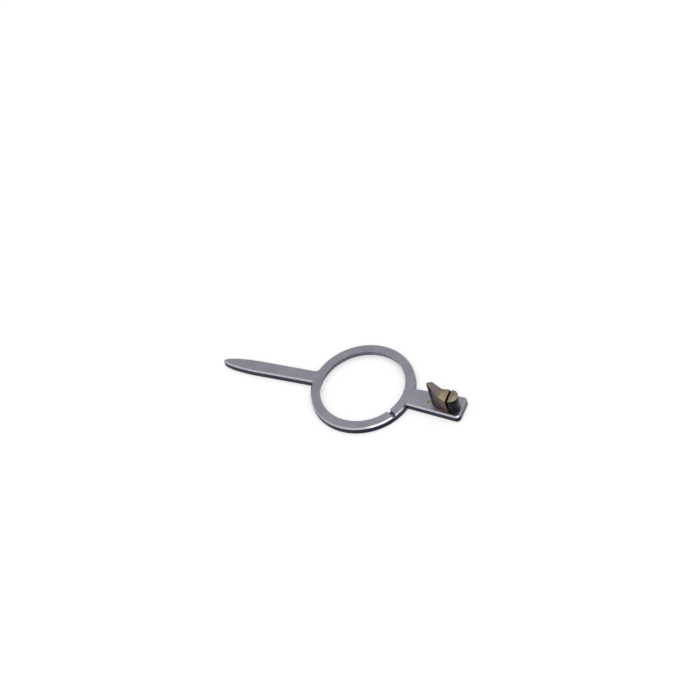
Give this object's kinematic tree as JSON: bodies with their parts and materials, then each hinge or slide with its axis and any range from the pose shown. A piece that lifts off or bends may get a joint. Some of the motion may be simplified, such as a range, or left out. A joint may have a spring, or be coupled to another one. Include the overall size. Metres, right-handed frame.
{
  "type": "watch regulator index",
  "caption": "Regulator index for a watch movement: steel ring with a pointer tail and a short arm carrying a slotted brass boot that turns to hold or free the hairspring",
  "frame": {"origin": "middle of the whole part's bounding box, on the plain underside of the index plate", "axes": "+X runs along the arm away from the tail, +Z stands out of the satin face on the boot's side, +Y completes a right-handed set"},
  "size_m": [0.0124, 0.005, 0.0018],
  "materials": {
    "index_plate": "satin grained upper face, polished bevel, dark plain side walls",
    "boot": "filed and a little tarnished",
    "curb_pin": "cut off flush, dull"
  },
  "bodies": {
    "index": {"index_plate": "index_plate", "curb_pin": "curb_pin"},
    "boot": {"boot": "boot"}
  },
  "joints": [
    {"name": "boot_turn", "type": "hinge", "parent": "index", "child": "boot", "pos_m": [0.00564, -0.00025, 0.0008], "axis": [0, 0, 1], "range_deg": [-90, 90]}
  ]
}
